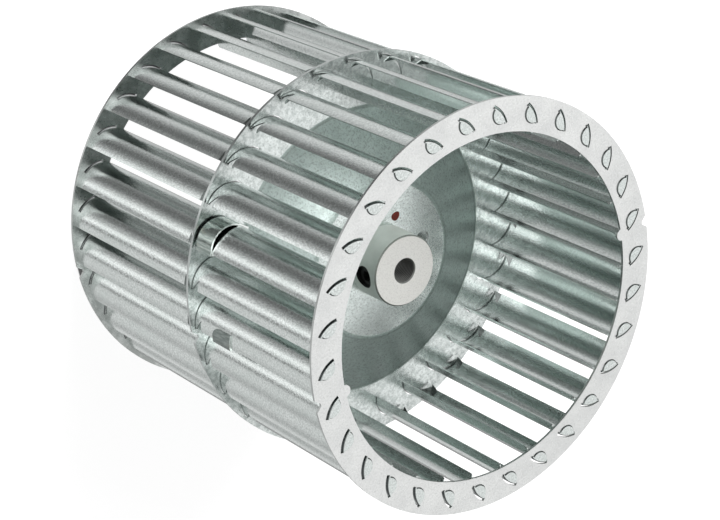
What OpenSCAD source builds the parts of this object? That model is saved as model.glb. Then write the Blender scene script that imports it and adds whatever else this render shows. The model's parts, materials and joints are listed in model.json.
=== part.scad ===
// Double-inlet blower wheel of galvanised steel with forward-curved blades.
// The axis is Z. The wheel stands on the clinched tabs of its rear ring, and the front ring,
// which is the end with the hub's set screw, is up. Seen from the front it turns counter-clockwise.
// The notches in the rims of the rings and of the centre disc lie on the X axis.

/* [Wheel] */
// Outside diameter of the two end rings and of the centre disc
ring_d = 160.3; // [156:0.1:176]
// Width over the outer faces of the end rings
wheel_w = 163.5; // [130:0.5:200]
// Radial width of an end ring
ring_band = 13.1; // [12.6:0.1:14]
// Sheet thickness of an end ring
ring_t = 1.0; // [0.8:0.1:1.6]
// Width of a rim notch, along the rim
notch_w = 4.8; // [3.5:0.1:6]
// Depth of a rim notch
notch_depth = 2.2; // [1:0.1:2.5]
// Width of the round lug on a ring's inner edge, beside each notch
lug_d = 4.8; // [3.5:0.1:6]

/* [Blades] */
// Number of blades
blade_n = 30; // [24:1:32]
// Sheet thickness of a blade
blade_t = 0.5; // [0.4:0.05:0.6]
// Radius of a blade's convex face
blade_r = 11.3; // [10.8:0.1:11.8]
// Angle of the curved part, from the tip edge to the heel bend
blade_arc = 85; // [82:1:88]
// Width of the flat strip at the heel, inside the bend
heel_w = 3.5; // [2.5:0.1:3.8]
// Angle of the heel bend
heel_bend = 20; // [10:1:25]
// Radius of the heel strip's corners
heel_corner = 1.2; // [0.8:0.1:1.5]
// Distance from the rim of the wheel to the tip edges
tip_inset = 1.65; // [1.4:0.05:2.2]
// Angle from the notches to the first blade
first_blade = 2.5; // [0:0.5:5]

/* [Clinched tabs] */
// Width of a tab, measured along the blade's curve
tab_w = 9; // [8:0.1:9.4]
// Angle from the tip edge to the middle of a tab
tab_mid = 54.5; // [53:0.5:56]
// Radius of the round flap that is folded onto the ring
flap_r = 3.95; // [3.6:0.05:4.05]
// Bevel round the edge of the flap
flap_bevel = 0.4; // [0.2:0.05:0.45]
// Gap between a tab and the wall of its slot, on the convex side
slot_gap = 0.7; // [0.4:0.05:0.8]
// Play between a blade and the rest of its slot
slot_play = 0.05; // [0.03:0.01:0.1]

/* [Centre disc] */
// Sheet thickness of the disc
disc_t = 1.2; // [1:0.1:1.6]
// How far the disc's flat rim lies in front of the middle of the wheel
disc_shift = 3.4; // [0:0.1:8]
// How far the dished middle stands in front of the rim
dish_h = 13.7; // [10:0.1:16]
// Diameter at which the cone meets the flat middle
dish_top_d = 63.4; // [56:0.2:70]
// Diameter at which the cone meets the flat rim
dish_foot_d = 117; // [110:0.5:122]
// Radius of the disc's two bends, on the inside
dish_bend_r = 4; // [3:0.5:5]
// Gap between a blade and the wall of its slot in the disc, on the convex side
disc_gap = 0.35; // [0.2:0.05:0.5]
// The same gap on the concave side, at the tip edge. It narrows towards the heel.
disc_tip_gap = 0.85; // [0.5:0.05:1]
// Width of the triangular ear that is cut out of each tip edge on both sides of the disc
ear_w = 4.3; // [3.5:0.1:4.6]
// Height of an ear, from the disc to its fold
ear_h = 3.4; // [2.8:0.1:4]
// Angle by which an ear is bent in
ear_bend = 45; // [35:1:60]
// Diameter of the hole in the disc beside the hub
disc_hole_d = 6.4; // [5:0.1:7.5]
// Distance of that hole from the axis
disc_hole_at = 20.5; // [19.6:0.1:24]

/* [Hub] */
// Bore for the shaft
bore_d = 9.525; // [8:0.005:12.7]
// Outside diameter of the hub
hub_d = 28.575; // [27:0.005:30]
// How far the hub stands in front of the disc
hub_proud = 14.4; // [13:0.1:18]
// Diameter of the neck that passes through the disc
neck_d = 21; // [19:0.1:22.5]
// Diameter of the neck's end, which is staked over behind the disc
stake_d = 24; // [23.4:0.1:27]
// Thickness of the staked end
stake_h = 1.8; // [1.2:0.1:2.5]
// Chamfer of the hub's front edge
hub_chamfer = 0.5; // [0.2:0.1:1]
// Chamfer of the bore's two ends
bore_chamfer = 0.4; // [0.2:0.1:0.8]

/* [Set screw] */
// Diameter of the set screw
screw_d = 8.6; // [6.35:0.05:9]
// Distance of the screw's axis behind the hub's front face
screw_down = 7.5; // [5.6:0.1:9]
// Angle of the screw round the axis, from the notch on +X
screw_angle = 174.5; // [0:0.5:360]
// How far the screw is sunk below the hub's side
screw_sunk = 1.6; // [0.5:0.1:2.5]
// Hexagon socket across flats
socket_af = 3.97; // [3:0.01:4.5]
// Depth of the socket
socket_depth = 3.2; // [2:0.1:4]

/* [Balance clips] */
// Sheet thickness of the clips
clip_t = 0.6; // [0.4:0.05:0.8]
// Width of the long clip, along the blade
long_clip_w = 9.5; // [7:0.1:12]
// Height of the long clip's arch over the blade
long_clip_arch = 1.2; // [0.6:0.1:1.6]
// Width of the short clip, along the blade
short_clip_w = 11.2; // [9:0.1:13]
// Angle of the blade's curve that the short clip covers
short_clip_arc = 25; // [22:1:27]
// Distance from the disc to the short clip
short_clip_at = 12.6; // [10:0.1:20]

/* [Hidden] */
$fn = 96;
// Number of the blade that carries each clip, counted clockwise from the notch on +X
LONG_CLIP_BLADE = 18;
SHORT_CLIP_BLADE = 16;
// Overlap of cutting tools past a face
OVER = 1;
// Play round parts that are pushed together
FIT = 0.04;
// Distance from the set screw's tip to the bore
TIP_GAP = 0.1;
// Width of the part of a flap that runs along the whole fold
FLAP_START = 0.2;
// Distance of an ear's root from both ends of its fold
EAR_RELIEF = 0.3;

ring_r = ring_d / 2;
ring_in_r = ring_r - ring_band;
tip_r = ring_r - tip_inset;
// Distance of the centre of a blade's curve from the axis
arc_c = tip_r - blade_r;
blade_in_r = blade_r - blade_t;
pitch = 360 / blade_n;

// Heights, from the floor up. A folded tab is as thick as the blade.
rear_z = blade_t;
front_z = rear_z + wheel_w;
body_z = rear_z + ring_t;
body_h = wheel_w - 2 * ring_t;
disc_front_z = rear_z + wheel_w / 2 + disc_shift + disc_t / 2;
disc_rear_z = disc_front_z - disc_t;
seat_z = disc_front_z + dish_h;
hub_front_z = seat_z + hub_proud;
hub_rear_z = seat_z - disc_t - stake_h;

// Half the angle of the blade's curve that a tab takes, and its two ends
tab_half = tab_w / blade_r * 90 / PI;
tab_from = tab_mid - tab_half;
tab_to = tab_mid + tab_half;
// Small angle of the blade's curve that corresponds to the play in a slot
play_angle = 2 * slot_play / blade_r * 180 / PI;

function two_digits(i) = str(i < 10 ? "0" : "", i);
function blade_name(i) = str("blade_", two_digits(i));
function blade_angle(i) = -first_blade - (i - 1) * pitch;

// Puts children at the place of blade i. There the curve's centre is on +X, the tip edge
// is at the angle 0 of the curve, and angles along the curve run clockwise to the heel.
module at_blade(i) {
    rotate([0, 0, blade_angle(i)]) children();
}

module at_curve_centre() {
    translate([arc_c, 0, 0]) children();
}

// Ring-shaped band about the curve's centre, between two angles of the curve
module curve_band(r_in, r_out, from, to, z, h) {
    at_curve_centre()
        translate([0, 0, z])
            rotate([0, 0, -to])
                rotate_extrude(angle = to - from)
                    translate([r_in, 0]) square([r_out - r_in, h]);
}

// Flat sector of a ring about the point c, between two angles of the blade's curve
module sector(c, r_in, r_out, from, to) {
    translate([c, 0])
        intersection() {
            difference() {
                circle(r_out);
                circle(r_in);
            }
            polygon(concat([[0, 0]], [for (k = [0:4]) let (a = from + (to - from) * k / 4)
                2 * r_out * [cos(a), -sin(a)]]));
        }
}

// Puts children at the heel bend: X runs along the heel strip towards the axis,
// the convex face is at Y = 0 and the concave face at Y = -blade_t.
module at_heel_bend() {
    at_curve_centre()
        rotate([0, 0, -blade_arc])
            translate([blade_r, 0, 0])
                rotate([0, 0, 270 - heel_bend]) children();
}

// Flat outline of a blade: the curved part and the heel strip
module blade_outline() {
    sector(arc_c, blade_in_r, blade_r, 0, blade_arc);
    at_heel_bend() translate([0, -blade_t]) square([heel_w, blade_t]);
}

// Children once above the inner face of the front ring and once, mirrored, below the rear ring's
module at_both_ends() {
    translate([0, 0, body_z + body_h]) children();
    translate([0, 0, body_z]) mirror([0, 0, 1]) children();
}

// Cutting tool that leaves only the tab of a blade in the thickness of a ring, above the height 0
module beside_tab() {
    reach = 2 * blade_r;
    linear_extrude(ring_t + OVER)
        translate([arc_c, 0])
            difference() {
                translate([-reach, -reach]) square(2 * reach);
                polygon([[0, 0], reach * [cos(tab_from), -sin(tab_from)],
                         reach * [cos(tab_to), -sin(tab_to)]]);
            }
}

// Cutting tool that rounds the corner of the heel strip below the height 0
module heel_corner_cut() {
    at_heel_bend()
        translate([heel_w - heel_corner, OVER, -heel_corner])
            rotate([90, 0, 0])
                linear_extrude(blade_t + 2 * OVER)
                    difference() {
                        square(heel_corner + OVER);
                        circle(heel_corner);
                    }
}

// Sheet of a blade, with a tab at both ends that ends flush with the outer face of the ring
module blade_sheet() {
    difference() {
        translate([0, 0, rear_z]) linear_extrude(wheel_w) blade_outline();
        at_both_ends() {
            beside_tab();
            heel_corner_cut();
        }
    }
}

// End of a tab, above the height 0: rounded fold, and round flap that lies on the ring
module clinched_tab() {
    at_curve_centre() {
        rotate([0, 0, -tab_to])
            rotate_extrude(angle = tab_to - tab_from)
                translate([blade_in_r, 0]) {
                    intersection() {
                        circle(blade_t);
                        square(blade_t);
                    }
                    translate([-FLAP_START, 0]) square([FLAP_START, blade_t]);
                }
        intersection() {
            cylinder(r = blade_in_r - FLAP_START / 2, h = blade_t);
            rotate([0, 0, -tab_mid])
                translate([blade_in_r, 0, 0])
                    cylinder(r1 = flap_r, r2 = flap_r - flap_bevel, h = blade_t);
        }
    }
}

// Triangle that the ear leaves open in the tip edge, above the height 0
module ear_opening() {
    translate([tip_r - 2 * OVER, 0, 0])
        rotate([90, 0, 90])
            linear_extrude(3 * OVER)
                polygon([[OVER, blade_t], [OVER, ear_h + blade_t],
                         [-ear_w, ear_h + blade_t], [0, blade_t]]);
}

// Ear bent in along the edge of its opening that faces the disc
module ear() {
    mid_r = blade_r - blade_t / 2;
    // The fold runs along the chord from the tip edge to the deep end of the opening
    deep = [arc_c + sqrt(mid_r * mid_r - ear_w * ear_w), -ear_w];
    tip = [arc_c + mid_r, 0];
    fold = norm(deep - tip);
    translate([tip[0], tip[1], ear_h + blade_t])
        rotate([0, 0, atan2(deep[1] - tip[1], deep[0] - tip[0])])
            rotate([90 - ear_bend, 0, 0])
                translate([0, 0, -blade_t / 2])
                    linear_extrude(blade_t)
                        polygon([[EAR_RELIEF / 2, blade_t / 4], [EAR_RELIEF / 2, -ear_h],
                                 [fold - EAR_RELIEF, -EAR_RELIEF], [fold - EAR_RELIEF, blade_t / 4]]);
}

// Children once above the disc's rim and once, mirrored, below it
module on_both_sides_of_disc() {
    translate([0, 0, disc_front_z]) children();
    translate([0, 0, disc_rear_z]) mirror([0, 0, 1]) children();
}

module blade(i) {
    color("gainsboro")
        at_blade(i) {
            difference() {
                blade_sheet();
                on_both_sides_of_disc() ear_opening();
            }
            on_both_sides_of_disc() ear();
            translate([0, 0, front_z]) clinched_tab();
            translate([0, 0, rear_z]) mirror([0, 0, 1]) clinched_tab();
        }
}

// Cutting tool for a V-shaped notch in a rim, on +X
module rim_notch(z, h) {
    translate([0, 0, z - OVER])
        linear_extrude(h + 2 * OVER)
            polygon([[ring_r + OVER, -notch_w / 2 - OVER], [ring_r - notch_depth, -notch_depth / 4],
                     [ring_r - notch_depth, notch_depth / 4], [ring_r + OVER, notch_w / 2 + OVER]]);
}

module on_both_sides_of_axis() {
    for (a = [0, 180]) {
        rotate([0, 0, a]) children();
    }
}

// Flat end ring with a slot for each blade's tab, its lower face at the height z
module end_ring(z) {
    color("whitesmoke")
        difference() {
            union() {
                difference() {
                    translate([0, 0, z]) cylinder(r = ring_r, h = ring_t);
                    translate([0, 0, z - OVER]) cylinder(r = ring_in_r, h = ring_t + 2 * OVER);
                }
                on_both_sides_of_axis()
                    translate([ring_in_r + lug_d / 20, 0, z]) cylinder(d = lug_d, h = ring_t);
            }
            for (i = [1:blade_n]) {
                at_blade(i)
                    curve_band(blade_in_r - slot_play, blade_r + slot_gap, tab_from - play_angle,
                               tab_to + play_angle, z - OVER, ring_t + 2 * OVER);
            }
            on_both_sides_of_axis() rim_notch(z, ring_t);
        }
}

module front_ring() {
    end_ring(front_z - ring_t);
}

module rear_ring() {
    end_ring(rear_z);
}

// Points on a bend of the disc's section, about the centre c, from one angle to another
function bend_points(c, r, from, to, steps = 6) =
    [for (k = [0:steps]) let (a = from + (to - from) * k / steps)
        [c[0] + r * cos(a), c[1] + r * sin(a)]];

// Half section of the dished disc: flat middle, cone and flat rim
module disc_section() {
    slope = atan2(dish_h, (dish_foot_d - dish_top_d) / 2);
    outer_r = dish_bend_r + disc_t;
    hole_r = neck_d / 2 + FIT;
    // Tangent lengths of the two bends, measured on the front face
    top_c = [dish_top_d / 2 - outer_r * tan(slope / 2), seat_z - outer_r];
    foot_c = [dish_foot_d / 2 + dish_bend_r * tan(slope / 2), disc_front_z + dish_bend_r];
    polygon(concat(
        [[hole_r, seat_z]],
        bend_points(top_c, outer_r, 90, 90 - slope),
        bend_points(foot_c, dish_bend_r, 270 - slope, 270),
        [[ring_r, disc_front_z], [ring_r, disc_rear_z]],
        bend_points(foot_c, outer_r, 270, 270 - slope),
        bend_points(top_c, dish_bend_r, 90 - slope, 90),
        [[hole_r, seat_z - disc_t]]));
}

// Slot in the disc for a whole blade. Its concave wall is shifted towards the wheel's axis,
// so the gap there is widest at the tip edge.
module blade_slot() {
    shift = disc_tip_gap - slot_play;
    translate([0, 0, disc_rear_z - OVER])
        linear_extrude(disc_t + 2 * OVER) {
            difference() {
                sector(arc_c, blade_in_r / 2, blade_r + disc_gap, -play_angle, blade_arc + play_angle);
                translate([arc_c - shift, 0]) circle(blade_in_r - slot_play);
            }
            at_heel_bend()
                translate([0, -blade_t - slot_play])
                    square([heel_w + slot_play, blade_t + slot_play + disc_gap]);
        }
}

module centre_disc() {
    color("lightgray")
        difference() {
            rotate_extrude() disc_section();
            for (i = [1:blade_n]) {
                at_blade(i) blade_slot();
            }
            on_both_sides_of_axis() rim_notch(disc_rear_z, disc_t);
            translate([disc_hole_at, 0, seat_z - disc_t - OVER])
                cylinder(d = disc_hole_d, h = disc_t + 2 * OVER);
        }
}

// Half section of the hub: body in front of the disc, neck through it, staked end behind it
module hub_section() {
    bore_r = bore_d / 2;
    polygon([
        [bore_r, hub_rear_z + bore_chamfer], [bore_r + bore_chamfer, hub_rear_z],
        [stake_d / 2 - stake_h / 3, hub_rear_z], [stake_d / 2, hub_rear_z + stake_h / 3],
        [stake_d / 2, seat_z - disc_t], [neck_d / 2, seat_z - disc_t],
        [neck_d / 2, seat_z], [hub_d / 2, seat_z],
        [hub_d / 2, hub_front_z - hub_chamfer], [hub_d / 2 - hub_chamfer, hub_front_z],
        [bore_r + bore_chamfer, hub_front_z], [bore_r, hub_front_z - bore_chamfer]]);
}

// Puts children at the set screw: Z runs outwards along its axis, from the wheel's axis
module at_set_screw() {
    rotate([0, 0, screw_angle])
        translate([0, 0, hub_front_z - screw_down])
            rotate([0, 90, 0]) children();
}

module hub() {
    color("silver")
        difference() {
            rotate_extrude() hub_section();
            at_set_screw() cylinder(d = screw_d + 2 * FIT, h = hub_d / 2 + OVER);
        }
}

// Set screw with a hexagon socket and a cupped tip
module set_screw() {
    tip = bore_d / 2 + TIP_GAP;
    head = hub_d / 2 - screw_sunk;
    tip_bevel = screw_d / 8;
    head_bevel = screw_d / 16;
    color("dimgray")
        at_set_screw()
            difference() {
                rotate_extrude()
                    polygon([[0, tip], [screw_d / 2 - tip_bevel, tip],
                             [screw_d / 2, tip + tip_bevel], [screw_d / 2, head - head_bevel],
                             [screw_d / 2 - head_bevel, head], [0, head]]);
                translate([0, 0, head - socket_depth])
                    cylinder(d = socket_af / cos(30), h = socket_depth + OVER, $fn = 6);
                translate([0, 0, tip - OVER])
                    cylinder(d1 = screw_d / 2 + 2 * OVER, d2 = 0, h = screw_d / 4 + OVER);
            }
}

// Flat section of a clip's hook round a blade's tip edge, covering an arc of both faces
module tip_hook(cover_arc) {
    edge = 1.5 * play_angle;
    wall = edge + clip_t / blade_r * 180 / PI;
    difference() {
        sector(arc_c, blade_in_r - FIT - clip_t, blade_r + FIT + clip_t, -wall, cover_arc);
        sector(arc_c, blade_in_r - FIT, blade_r + FIT, -edge, cover_arc + OVER);
    }
}

// Flat section of a clip's hook round the edge of the heel strip
module heel_hook() {
    low = -blade_t - FIT;
    end = heel_w + FIT;
    difference() {
        translate([-clip_t, low - clip_t]) square([end + 2 * clip_t, blade_t + 2 * FIT + 2 * clip_t]);
        translate([-2 * clip_t, low]) square([end + 2 * clip_t, blade_t + 2 * FIT]);
        translate([-2 * clip_t, low - 2 * clip_t]) square([end + 2 * clip_t - heel_w * 0.6, 3 * clip_t]);
    }
}

// Long clip over the whole convex face, arched clear of it, hooked over both edges
module balance_clip_long() {
    from = 4;
    to = blade_arc - 2;
    face_r = blade_r + FIT;
    // The arch passes through the face at both ends and stands off by its height between them
    half = (to - from) / 2;
    rise = face_r * (1 - cos(half)) + long_clip_arch;
    half_chord = face_r * sin(half);
    arch_r = (half_chord * half_chord + rise * rise) / (2 * rise);
    arch_half = asin(half_chord / arch_r);
    arch_off = face_r * cos(half) + rise - arch_r;
    z = disc_front_z + 2 * clip_t;
    color("darkgray")
        at_blade(LONG_CLIP_BLADE)
            difference() {
                translate([0, 0, z])
                    linear_extrude(long_clip_w) {
                        tip_hook(from + 3);
                        translate([arc_c, 0])
                            rotate(-(from + half))
                                sector(arch_off, arch_r, arch_r + clip_t, -arch_half, arch_half);
                        sector(arc_c, face_r, face_r + clip_t, to - 3, blade_arc);
                        at_heel_bend() heel_hook();
                    }
                // The hook leaves the blade's ear free
                curve_band(blade_in_r - 3 * clip_t, blade_r, -4 * from, 4 * from, z - OVER,
                           ear_h + 2 * blade_t + OVER - 2 * clip_t);
            }
}

// Short clip pushed on the tip edge, with a rounded corner towards the disc
module balance_clip_short() {
    z = disc_front_z + short_clip_at;
    corner = short_clip_w / 3;
    // The rounding circle crosses both edges a little before it would touch them
    middle = corner * 0.97;
    color("darkgray")
        at_blade(SHORT_CLIP_BLADE)
            difference() {
                translate([0, 0, z]) linear_extrude(short_clip_w) tip_hook(short_clip_arc);
                at_curve_centre()
                    rotate([0, 0, -short_clip_arc])
                        translate([blade_r - 2 * OVER, 0, z])
                            rotate([90, 0, 90])
                                linear_extrude(clip_t + 4 * OVER)
                                    difference() {
                                        translate([-OVER, -OVER]) square(middle + OVER);
                                        translate([middle, middle]) circle(corner);
                                    }
            }
}

for (i = [1:blade_n]) {
    blade(i);
}
front_ring();
rear_ring();
centre_disc();
hub();
set_screw();
balance_clip_long();
balance_clip_short();
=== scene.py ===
import json
import math

import bpy
from mathutils import Matrix, Vector

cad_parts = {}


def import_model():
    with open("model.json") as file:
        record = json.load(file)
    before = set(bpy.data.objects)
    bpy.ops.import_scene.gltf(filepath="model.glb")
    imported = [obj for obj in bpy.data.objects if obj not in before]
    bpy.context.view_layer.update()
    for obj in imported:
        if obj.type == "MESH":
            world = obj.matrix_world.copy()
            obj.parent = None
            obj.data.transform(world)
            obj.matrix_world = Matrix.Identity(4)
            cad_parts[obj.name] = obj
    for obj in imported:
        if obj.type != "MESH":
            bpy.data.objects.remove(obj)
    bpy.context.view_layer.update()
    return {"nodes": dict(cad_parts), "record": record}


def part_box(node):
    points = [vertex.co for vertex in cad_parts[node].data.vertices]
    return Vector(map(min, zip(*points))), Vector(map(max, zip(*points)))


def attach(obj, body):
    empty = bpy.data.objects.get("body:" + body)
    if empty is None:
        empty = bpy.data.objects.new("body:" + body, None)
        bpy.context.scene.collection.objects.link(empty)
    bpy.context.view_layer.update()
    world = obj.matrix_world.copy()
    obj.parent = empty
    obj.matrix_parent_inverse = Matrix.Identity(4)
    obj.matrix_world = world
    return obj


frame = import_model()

MM = 0.001

# Places on the wheel, from the frame
DISH_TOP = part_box("centre_disc")[1].z
REAR_RING_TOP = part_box("rear_ring")[1].z
FRONT_RING_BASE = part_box("front_ring")[0].z
HALF_WAY = (REAR_RING_TOP + FRONT_RING_BASE) / 2
screw_low, screw_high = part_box("set_screw")
SCREW_MIDDLE = (screw_low + screw_high) / 2
AXIS = Vector((0, 0, 1))
# Width over which one finish gives way to the next
SOFT = 0.1 * MM


# Node trees

class Tree:
    """Builds a node tree with short calls."""

    def __init__(self, tree):
        self.tree = tree

    def add(self, kind, inputs=None, **settings):
        node = self.tree.nodes.new(kind)
        for key, value in settings.items():
            setattr(node, key, value)
        for key, value in (inputs or {}).items():
            self.set(node.inputs[key], value)
        return node

    def set(self, socket, value):
        if isinstance(value, bpy.types.NodeSocket):
            self.tree.links.new(value, socket)
        else:
            socket.default_value = value

    def math(self, operation, a, b=0.0):
        return self.add("ShaderNodeMath", {0: a, 1: b}, operation=operation).outputs[0]

    def vector(self, operation, a, b=(0, 0, 0)):
        """Outputs of a vector operation: Vector, or Value where it gives a number."""
        return self.add("ShaderNodeVectorMath", {0: a, 1: b}, operation=operation).outputs

    def spread(self, value, low, high, to_low=0.0, to_high=1.0, curve="LINEAR"):
        """Runs from to_low to to_high while the value runs from low to high, and stays there beyond."""
        inputs = {"Value": value, "From Min": low, "From Max": high, "To Min": to_low, "To Max": to_high}
        return self.add("ShaderNodeMapRange", inputs, interpolation_type=curve).outputs["Result"]

    def blend(self, factor, a, b):
        """Number a where the factor is 0, and b where it is 1."""
        rest = self.math("SUBTRACT", 1.0, factor)
        return self.math("ADD", self.math("MULTIPLY", a, rest), self.math("MULTIPLY", b, factor))


class Finish(Tree):
    """A material, with masks and patterns by the place on the wheel."""

    def __init__(self, name):
        self.material = bpy.data.materials.new(name)
        self.material.use_nodes = True
        super().__init__(self.material.node_tree)
        self.shader = self.tree.nodes["Principled BSDF"]

    def shade(self, **values):
        """Sets inputs of the shader, named with _ for a blank."""
        for key, value in values.items():
            self.set(self.shader.inputs[key.replace("_", " ")], value)

    def bump(self, height, distance):
        node = self.add("ShaderNodeBump", {"Height": height, "Strength": 1.0, "Distance": distance})
        self.shade(Normal=node.outputs["Normal"])

    def mix(self, factor, a, b, mode="MIX"):
        """Colour a where the factor is 0, and b where it is 1, or a times b with the mode MULTIPLY."""
        node = self.add("ShaderNodeMix", data_type="RGBA", blend_type=mode)
        for socket, value in (("Factor", factor), ("A", a), ("B", b)):
            self.set(node.inputs[socket], (*value, 1) if isinstance(value, tuple) else value)
        return node.outputs["Result"]

    def place(self, scale=(1, 1, 1)):
        """Place on the object in metres, stretched by a scale per axis."""
        place = self.add("ShaderNodeTexCoord").outputs["Object"]
        return self.vector("MULTIPLY", place, scale)["Vector"]

    def noise(self, size, scale=(1, 1, 1), detail=3.0, roughness=0.55):
        """Noise whose features are about size metres wide."""
        node = self.add("ShaderNodeTexNoise", {
            "Vector": self.place(scale), "Scale": 1 / size, "Detail": detail, "Roughness": roughness})
        return node.outputs["Fac"]

    def cells(self, size):
        """Crystal-like cells of about size metres, each with its own random value."""
        node = self.add("ShaderNodeTexVoronoi", {"Vector": self.place(), "Scale": 1 / size})
        return self.add("ShaderNodeSeparateColor", {"Color": node.outputs["Color"]}).outputs["Red"]

    def camera_ray(self):
        return self.add("ShaderNodeLightPath").outputs["Is Camera Ray"]

    def height(self):
        """Height over the floor, in metres."""
        return self.add("ShaderNodeSeparateXYZ", {"Vector": self.place()}).outputs["Z"]

    def radius(self):
        """Distance from the wheel's axis, in metres."""
        return self.vector("LENGTH", self.place(scale=(1, 1, 0)))["Value"]

    def from_line(self, point):
        """Distance, in metres, from the level line through a point and the wheel's axis."""
        along = Vector((point.x, point.y, 0)).normalized()
        lifted = self.vector("SUBTRACT", self.place(), (0, 0, point.z))["Vector"]
        across = self.vector("CROSS_PRODUCT", lifted, along)["Vector"]
        return self.vector("LENGTH", across)["Value"]

    def upward(self):
        """How far the surface looks up: 1 on a level top, 0 on a wall, -1 on a level underside."""
        normal = self.add("ShaderNodeNewGeometry").outputs["Normal"]
        return self.add("ShaderNodeSeparateXYZ", {"Vector": normal}).outputs["Z"]

    def facing_up(self, low, high):
        """0 to 1 as the surface turns upwards."""
        return self.spread(self.upward(), low, high)

    def flat_side(self):
        """1 on the faces of a flat sheet that lies level, 0 on its cut edges."""
        return self.spread(self.math("ABSOLUTE", self.upward()), 0.3, 0.6)

    def slanted(self, level=0.95, clear=0.8):
        """1 on faces that slant, such as a blade's bent ears, 0 on walls and level faces.

        What looks up or down by more than level counts as level, by less than clear as slanted."""
        tilt = self.math("ABSOLUTE", self.upward())
        return self.math("MULTIPLY", self.spread(tilt, 0.45, 0.6), self.spread(tilt, level, clear))

    def in_slots(self):
        """1 on what a blade hides in the end rings' slots, 0 on its sheet and on its flaps' faces."""
        upward = self.upward()
        height = self.height()
        in_rear = self.spread(height, REAR_RING_TOP, REAR_RING_TOP - SOFT)
        in_front = self.spread(height, FRONT_RING_BASE, FRONT_RING_BASE + SOFT)
        at_rear = self.math("MULTIPLY", in_rear, self.spread(upward, -0.7, -0.5))
        at_front = self.math("MULTIPLY", in_front, self.spread(upward, 0.7, 0.5))
        return self.math("MAXIMUM", at_rear, at_front)


# Materials

def blade_sheet():
    """Bright zinc with a fine grain and soft green-grey clouds. Painted shade darkens the bent ears and
    the tabs hidden in the end rings' slots.
    """
    grain_dark, grain_light = (0.53, 0.56, 0.55), (0.76, 0.80, 0.785)
    clouded = (0.55, 0.61, 0.585)
    # Painted shade: the bent ears are dark
    ear_painted_shade = (0.16, 0.175, 0.17)
    # Painted shade: the blade's tabs inside the end rings' slots are near black
    slot_painted_shade = (0.09, 0.10, 0.10)
    m = Finish("galvanised blade sheet")
    clouds = m.noise(6 * MM, scale=(1, 1, 0.4))
    grain = m.noise(0.7 * MM, detail=2, roughness=0.7)
    colour = m.mix(m.spread(grain, 0.36, 0.64), grain_dark, grain_light)
    colour = m.mix(m.spread(clouds, 0.38, 0.68, 0.0, 0.35), colour, clouded)
    # Painted shade on the slanted faces of the bent ears
    colour = m.mix(m.slanted(), colour, ear_painted_shade)
    # Painted shade in the end rings' slots
    colour = m.mix(m.in_slots(), colour, slot_painted_shade)
    m.shade(Base_Color=colour, Metallic=1.0, Roughness=m.spread(grain, 0.3, 0.7, 0.10, 0.22))
    m.bump(grain, 0.05 * MM)
    return m.material


def ring_sheet():
    """Pale zinc with fine dark specks. The rear ring's inner face carries painted shade, darker and
    cloudy.
    """
    zinc_light, zinc_dark = (0.80, 0.81, 0.80), (0.71, 0.72, 0.715)
    speck = (0.50, 0.51, 0.50)
    # Painted shade tones for the rear ring's inner face
    rear_face_shade_dark, dull_light = (0.37, 0.39, 0.38), (0.62, 0.64, 0.63)
    cut_edge = (0.48, 0.50, 0.49)
    m = Finish("galvanised ring sheet")
    clouds = m.noise(9 * MM, detail=4, roughness=0.6)
    grain = m.noise(0.8 * MM, roughness=0.75)
    colour = m.mix(m.spread(clouds, 0.35, 0.7), zinc_light, zinc_dark)
    colour = m.mix(m.spread(grain, 0.52, 0.72, 0.0, 0.5), colour, speck)
    # Painted shade: the rear ring's inner face, closed in inside the wheel, is darker
    rear_ring = m.spread(m.height(), HALF_WAY + SOFT, HALF_WAY - SOFT)
    inner_face = m.math("MULTIPLY", m.facing_up(0.5, 0.8), rear_ring)
    colour = m.mix(inner_face, colour, m.mix(m.spread(clouds, 0.4, 0.6), rear_face_shade_dark, dull_light))
    colour = m.mix(m.flat_side(), cut_edge, colour)
    m.shade(Base_Color=colour, Metallic=1.0, Roughness=m.spread(grain, 0.3, 0.7, 0.24, 0.36))
    m.bump(grain, 0.03 * MM)
    return m.material


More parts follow.
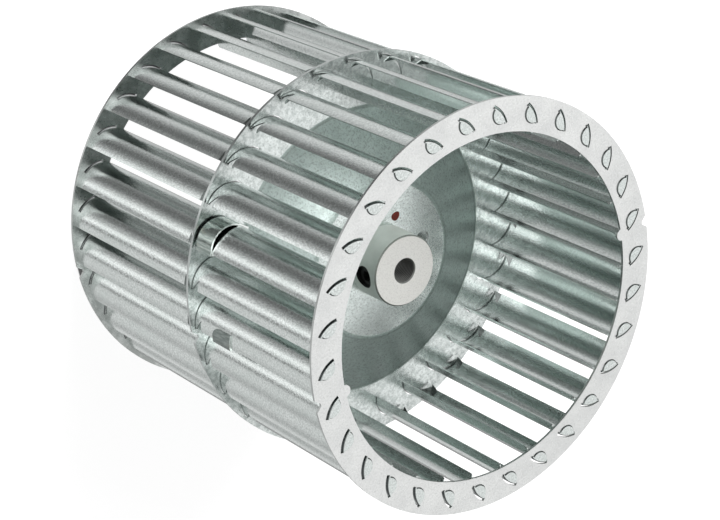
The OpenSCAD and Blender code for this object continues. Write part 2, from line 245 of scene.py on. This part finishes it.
def disc_sheet():
    """Green-grey zinc with crystals and dark specks, spattered on the rim, with painted shade darkening
    its edge among the blades.
    """
    zinc_dark, zinc_light = (0.70, 0.765, 0.745), (0.80, 0.86, 0.84)
    crystal = (0.56, 0.625, 0.605)
    speck = (0.34, 0.385, 0.37)
    spatter_dark, spatter_light = (0.45, 0.48, 0.47), (0.79, 0.82, 0.81)
    edge_shade_dark, edge_shade_light = (0.36, 0.39, 0.38), (0.62, 0.65, 0.64)
    drawn_tint = (0.93, 0.99, 0.97)
    bend_painted_shade = (0.70, 0.72, 0.71)
    cut_edge = (0.50, 0.53, 0.52)
    rim_start, rim_full = 56 * MM, 60 * MM
    edge_shade_start, edge_shade_full = 71 * MM, 77 * MM

    m = Finish("galvanised disc sheet")
    crystals = m.cells(1.6 * MM)
    clouds = m.noise(6 * MM, detail=4, roughness=0.65)
    grain = m.noise(0.8 * MM, detail=4, roughness=0.75)
    colour = m.mix(m.spread(clouds, 0.35, 0.68), zinc_dark, zinc_light)
    colour = m.mix(m.spread(crystals, 0.0, 1.0, 0.0, 0.35), colour, crystal)
    colour = m.mix(m.spread(grain, 0.50, 0.64, 0.0, 0.8), colour, speck)

    # The flat rim outside the cone
    blotches = m.spread(m.noise(2.2 * MM, detail=4, roughness=0.75), 0.42, 0.58)
    rim = m.spread(m.radius(), rim_start, rim_full, 0.0, 0.5)
    colour = m.mix(rim, colour, m.mix(blotches, spatter_dark, spatter_light))
    # Painted shade: the rim darkens towards its edge, among the blade roots
    edge_shade = m.spread(m.radius(), edge_shade_start, edge_shade_full, 0.0, 0.6)
    colour = m.mix(edge_shade, colour, m.mix(blotches, edge_shade_dark, edge_shade_light))

    # The cone, whose sheet is duller from the draw. Its two bends are darkened further by painted shade
    # that hides their highlight
    drawn = m.slanted(level=0.9998, clear=0.995)
    bends = m.math("MULTIPLY", drawn, m.facing_up(0.895, 0.93))
    colour = m.mix(drawn, colour, drawn_tint, mode="MULTIPLY")
    # Painted shade in the two bends
    colour = m.mix(bends, colour, bend_painted_shade, mode="MULTIPLY")
    colour = m.mix(m.flat_side(), cut_edge, colour)
    roughness = m.math("ADD", m.spread(crystals, 0.0, 1.0, 0.19, 0.27), m.math("MULTIPLY", drawn, 0.20))
    m.shade(Base_Color=colour, Metallic=1.0, Roughness=roughness)
    m.bump(grain, 0.025 * MM)
    return m.material


def hub_metal():
    """Turned bar: pale faced end, pale green-grey side, bore with tool marks darkened by painted shade,
    screw hole walls in black painted shade, and a dark painted reflection on the chamfer.
    """
    side_dark, side_light = (0.66, 0.72, 0.67), (0.74, 0.80, 0.75)
    end_light, end_speck = (0.69, 0.69, 0.66), (0.42, 0.42, 0.40)
    bore_shade_dark, bore_shade_light = (0.05, 0.05, 0.047), (0.33, 0.335, 0.32)
    # Painted reflection: dark colour for the chamfer
    chamfer_dark_reflection = (0.20, 0.22, 0.20)
    # Painted shade: black for the screw hole's walls
    hole_painted_shade = (0.012, 0.013, 0.013)
    tool_mark_pitch = 0.8 * MM
    bore_edge = 5.0 * MM
    hole_radius, hole_soft = 4.35 * MM, 0.25 * MM

    m = Finish("hub")
    end = m.facing_up(0.80, 0.95)
    clouds = m.noise(6 * MM)
    grain = m.noise(0.5 * MM, roughness=0.7)
    side = m.mix(m.spread(clouds, 0.35, 0.7), side_dark, side_light)
    face = m.mix(m.spread(grain, 0.48, 0.68, 0.0, 0.5), end_light, end_speck)
    # Painted reflection: the slanted chamfer faces are dark
    outside = m.mix(m.slanted(), m.mix(end, side, face), chamfer_dark_reflection)
    # Painted shade: the walls of the screw hole are black
    screw_hole = m.spread(m.from_line(SCREW_MIDDLE), hole_radius + hole_soft, hole_radius)
    outside = m.mix(screw_hole, outside, hole_painted_shade)
    # The bore's tool marks are its own; its dark tone is painted shade in the deep hole
    tool_marks = m.math("SINE", m.math("MULTIPLY", m.height(), 2 * math.pi / tool_mark_pitch))
    bore = m.mix(m.spread(tool_marks, -1, 1), bore_shade_dark, bore_shade_light)
    colour = m.mix(m.spread(m.radius(), bore_edge - SOFT, bore_edge + SOFT), bore, outside)
    m.shade(Base_Color=colour, Metallic=m.spread(end, 0, 1, 0.55, 0.7),
            Roughness=m.spread(end, 0, 1, 0.46, 0.5))
    m.bump(grain, 0.02 * MM)
    return m.material


def black_oxide():
    """Near-black, half dull steel of the set screw."""
    oxide_dark, oxide_light = (0.012, 0.013, 0.013), (0.035, 0.036, 0.035)
    m = Finish("black oxide")
    grain = m.noise(0.6 * MM)
    colour = m.mix(m.spread(grain, 0.3, 0.7), oxide_dark, oxide_light)
    m.shade(Base_Color=colour, Metallic=0.6, Roughness=m.spread(grain, 0.3, 0.7, 0.38, 0.55))
    return m.material


def clip_steel(name, dark, light):
    """Shiny steel, streaked along the wheel, with brown stains and a painted highlight on the cut edge on
    top.
    """
    brown = (0.38, 0.34, 0.26)
    # Painted highlight colour for the cut edge that faces up
    cut_edge = (0.80, 0.84, 0.82)
    m = Finish(name)
    streaks = m.noise(0.8 * MM, scale=(1, 1, 0.2))
    clouds = m.noise(4 * MM)
    colour = m.mix(m.spread(streaks, 0.35, 0.7), dark, light)
    colour = m.mix(m.spread(clouds, 0.58, 0.74, 0.0, 0.5), colour, brown)
    # Painted highlight: the cut edge that faces up is bright
    colour = m.mix(m.facing_up(0.5, 0.8), colour, cut_edge)
    m.shade(Base_Color=colour, Metallic=1.0, Roughness=m.spread(clouds, 0.3, 0.7, 0.10, 0.18))
    m.bump(streaks, 0.03 * MM)
    return m.material


def red_paint():
    """Dull brownish red, laid on unevenly."""
    paint_dark, paint_light = (0.08, 0.012, 0.008), (0.15, 0.025, 0.017)
    m = Finish("red paint")
    grain = m.noise(1.2 * MM)
    colour = m.mix(m.spread(grain, 0.35, 0.7), paint_dark, paint_light)
    m.shade(Base_Color=colour, Roughness=m.spread(grain, 0.3, 0.7, 0.55, 0.75), Specular_IOR_Level=0.3)
    return m.material


def dress_cad():
    """Gives every CAD node its material by the record's slots. The short clip gets a darker copy of the
    clip steel, as painted shade.
    """
    steel = clip_steel("clip steel", dark=(0.27, 0.325, 0.30), light=(0.47, 0.52, 0.49))
    # Painted shade: a darker copy of the clip steel for the short clip
    shaded_clip_steel = clip_steel("painted shade clip steel", dark=(0.15, 0.18, 0.17), light=(0.29, 0.325, 0.31))
    made = {"blade_sheet": blade_sheet(), "ring_sheet": ring_sheet(), "disc_sheet": disc_sheet(),
            "hub": hub_metal(), "screw": black_oxide(), "clip": steel}
    own = {"balance_clip_short": shaded_clip_steel}
    slots = {part["node"]: part["material_slot"] for part in frame["record"]["subparts"]}
    for name, piece in frame["nodes"].items():
        piece.data.materials.clear()
        piece.data.materials.append(own.get(name, made[slots[name]]))


# Small pieces on the wheel

def new_piece(name, vertices, faces, material):
    mesh = bpy.data.meshes.new(name)
    mesh.from_pydata(vertices, [], faces)
    mesh.update()
    piece = bpy.data.objects.new(name, mesh)
    bpy.context.scene.collection.objects.link(piece)
    mesh.materials.append(material)
    for polygon in mesh.polygons:
        polygon.use_smooth = True
    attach(piece, "root")


def around(radius, degrees, height):
    """Point at a distance from the wheel's axis, in a direction counted from +X."""
    angle = math.radians(degrees)
    return Vector((radius * math.cos(angle), radius * math.sin(angle), height))


def paint_dot():
    """Blob of red paint on the flat middle of the disc."""
    from_axis, bearing = 17.95 * MM, 55.7
    radius, thick = 2.0 * MM, 0.12 * MM
    # The blob's edge dips into the disc
    dip = 0.02 * MM
    rings, spokes = 5, 28
    centre = around(from_axis, bearing, DISH_TOP)
    vertices = [centre + AXIS * thick]
    for k in range(1, rings + 1):
        out = k / rings
        height = thick * (1 - out ** 4) - dip * out
        for j in range(spokes):
            turn = 2 * math.pi * j / spokes
            wobble = 1 + 0.07 * math.sin(2 * turn + 1) + 0.05 * math.sin(3 * turn)
            side = Vector((math.cos(turn), math.sin(turn), 0))
            vertices.append(centre + side * radius * out * wobble + AXIS * height)
    faces = [(0, 1 + j, 1 + (j + 1) % spokes) for j in range(spokes)]
    for k in range(rings - 1):
        inner, outer = 1 + k * spokes, 1 + (k + 1) * spokes
        faces += [(inner + j, outer + j, outer + (j + 1) % spokes, inner + (j + 1) % spokes)
                  for j in range(spokes)]
    new_piece("paint_dot", vertices, faces, red_paint())


# Studio

def camera():
    """Looks into the front ring from above, rolled as far as the wheel lies tilted in the photograph."""
    place = Vector((-403.9, 397.2, 721.4)) * MM
    target = Vector((-2.5, -2.5, 88.5)) * MM
    roll = math.radians(115.16)
    data = bpy.data.cameras.new("camera")
    data.sensor_fit = "HORIZONTAL"
    data.sensor_width = 36
    data.lens = 108.63
    data.clip_start = 10 * MM
    cam = bpy.data.objects.new("camera", data)
    turn = (target - place).to_track_quat("-Z", "Y").to_matrix().to_4x4()
    cam.matrix_world = Matrix.Translation(place) @ turn @ Matrix.Rotation(roll, 4, "Z")
    bpy.context.scene.collection.objects.link(cam)
    bpy.context.scene.camera = cam


def softbox(name, direction, distance, size, watts):
    """Square lamp that looks at the wheel, and that the metal doesn't mirror."""
    data = bpy.data.lights.new(name, "AREA")
    data.shape = "SQUARE"
    data.size = size
    data.energy = watts
    lamp = bpy.data.objects.new(name, data)
    aim = Vector((0, 0, 90 * MM))
    lamp.location = aim + Vector(direction).normalized() * distance
    lamp.rotation_euler = (aim - lamp.location).to_track_quat("-Z", "Y").to_euler()
    lamp.visible_glossy = False
    bpy.context.scene.collection.objects.link(lamp)


class Sky(Tree):
    """Builds the world's brightness, as the metal sees it, from the ray's direction."""

    def __init__(self, tree):
        super().__init__(tree)
        self.ray = self.add("ShaderNodeTexCoord").outputs["Generated"]

    def along(self, direction):
        """Cosine of the angle between the ray and a direction."""
        return self.vector("DOT_PRODUCT", self.ray, Vector(direction).normalized())["Value"]

    def ramp(self, value, low, high, to_low, to_high):
        return self.spread(value, low, high, to_low, to_high, curve="SMOOTHSTEP")

    def compass(self, stops):
        """Brightness by the ray's compass direction, from pairs of degrees and brightness.

        The first pair is at -90 degrees and the last at 270."""
        turn = self.math("ARCTAN2", self.along((0, 1, 0)), self.along((1, 0, 0)))
        turn = self.math("MULTIPLY", turn, 1 / (2 * math.pi))
        node = self.add("ShaderNodeValToRGB", {0: self.math("FRACT", self.math("ADD", turn, 1.25))})
        ramp = node.color_ramp.elements
        places = [(degrees + 90) / 360 for degrees, bright in stops]
        greys = [(bright, bright, bright, 1) for degrees, bright in stops]
        ramp[0].color = greys[0]
        ramp[1].color = greys[-1]
        for place, grey in zip(places[1:-1], greys[1:-1]):
            ramp.new(place).color = grey
        return node.outputs["Color"]


def studio(sky):
    """What the metal sees: strip lights and dim walls by the compass, under a ceiling with a skylight."""
    ceiling = 0.80
    rise = sky.along((0, 0, 1))

    # Below the horizon: a strip light at 144 degrees, with dark gaps at 92 and 165
    below = sky.compass((
        (-90, 0.35), (-45, 0.35), (0, 0.65), (20, 0.84), (45, 0.84), (62, 0.68), (78, 0.34), (92, 0.19),
        (108, 0.22), (126, 0.56), (136, 0.95), (144, 1.40), (151, 1.30), (157, 0.80), (162, 0.34),
        (167, 0.34), (171, 0.82), (200, 0.84), (235, 0.55), (270, 1.00)))

    # Above it: a brighter strip light at 138 degrees, and a dark gap at 98
    above = sky.compass((
        (-90, 1.05), (-45, 1.05), (0, 1.50), (45, 0.95), (62, 0.70), (80, 0.35), (98, 0.24), (112, 0.50),
        (126, 1.90), (138, 3.00), (150, 2.80), (162, 1.20), (200, 0.80), (235, 0.70), (270, 1.00)))
    # The strips are bright only high up
    above = sky.math("MINIMUM", above, sky.ramp(rise, 0.58, 0.70, 0.9, 3.0))

    # Dim wall on the side away from the camera
    wall_top = sky.ramp(rise, 0.42, 0.55, 0.80, 0.0)
    wall_side = sky.ramp(sky.along((0.70, -0.71, 0.1)), 0.3, 0.6, 0.0, 1.0)
    wall = sky.math("MULTIPLY", wall_top, wall_side)
    above = sky.math("MULTIPLY", above, sky.math("SUBTRACT", 1.0, wall))

    # The ceiling overhead, and the skylight in it
    above = sky.blend(sky.ramp(rise, 0.80, 0.95, 0.0, 1.0), above, ceiling)
    skylight = sky.ramp(sky.along((0.05, 0.38, 0.92)), 0.94, 0.985, 0.0, 2.2)
    above = sky.math("ADD", above, skylight)
    return sky.blend(sky.ramp(rise, -0.2, 0.2, 0.0, 1.0), below, above)


def world():
    """White for the camera, the studio for the metal, and an even dim light for what is dull."""
    dull_light = 0.45
    made = bpy.data.worlds.new("world")
    made.use_nodes = True
    sky = Sky(made.node_tree)
    path = sky.add("ShaderNodeLightPath").outputs
    glossy = sky.math("MAXIMUM", path["Is Glossy Ray"], path["Is Transmission Ray"])
    light = sky.blend(glossy, dull_light, studio(sky))
    background = made.node_tree.nodes["Background"]
    sky.set(background.inputs["Color"], (1, 1, 1, 1))
    sky.set(background.inputs["Strength"], sky.math("MAXIMUM", light, path["Is Camera Ray"]))
    bpy.context.scene.world = made


def floor():
    """Pale floor, white to the camera but for a painted shadow strip where the rear ring stands."""
    half_side = 6.0
    grey_dark, grey_light = (0.23, 0.23, 0.23), (0.25, 0.25, 0.25)
    # Radii of the painted shadow strip, and of the floor inside the ring, which gets less light and glows
    # more as painted light
    shadow_strip_inner, shadow_strip_outer, shadow_strip_soft = 67.1 * MM, 79.5 * MM, 0.3 * MM
    inside, inside_soft = 66.8 * MM, 0.2 * MM
    glow_outside, painted_light_glow_inside = 0.87, 0.97

    m = Finish("pale floor")
    grain = m.noise(300 * MM, detail=2)
    radius = m.radius()
    past_inner = m.spread(radius, shadow_strip_inner - shadow_strip_soft, shadow_strip_inner + shadow_strip_soft)
    within_outer = m.spread(radius, shadow_strip_outer + shadow_strip_soft, shadow_strip_outer - shadow_strip_soft)
    # Painted shadow: no glow in the strip under the rear ring
    off_shadow_strip = m.spread(m.math("MULTIPLY", past_inner, within_outer), 0, 1, 1.0, 0.0)
    # Painted light: the floor inside the ring glows brighter, over the wheel's shade
    bright = m.spread(radius, inside + inside_soft, inside - inside_soft, glow_outside, painted_light_glow_inside)
    glow = m.math("MULTIPLY", m.camera_ray(), m.math("MULTIPLY", bright, off_shadow_strip))
    m.shade(Base_Color=m.mix(m.spread(grain, 0.3, 0.7), grey_dark, grey_light), Roughness=0.9,
            Emission_Color=(1, 1, 1, 1), Emission_Strength=glow)

    mesh = bpy.data.meshes.new("floor")
    corners = [(x * half_side, y * half_side, 0) for x, y in ((-1, -1), (1, -1), (1, 1), (-1, 1))]
    mesh.from_pydata(corners, [], [(0, 1, 2, 3)])
    mesh.materials.append(m.material)
    piece = bpy.data.objects.new("floor", mesh)
    # The metal reflects the studio that the world stands for, not the bare floor
    piece.visible_glossy = False
    bpy.context.scene.collection.objects.link(piece)


camera()
world()
floor()
softbox("key", direction=(0.40, 0.85, 0.35), distance=1.1, size=0.9, watts=7)
softbox("front", direction=(0.45, 0.62, 0.70), distance=1.3, size=0.8, watts=38)
dress_cad()
paint_dot()
bpy.context.scene.view_settings.view_transform = "Standard"
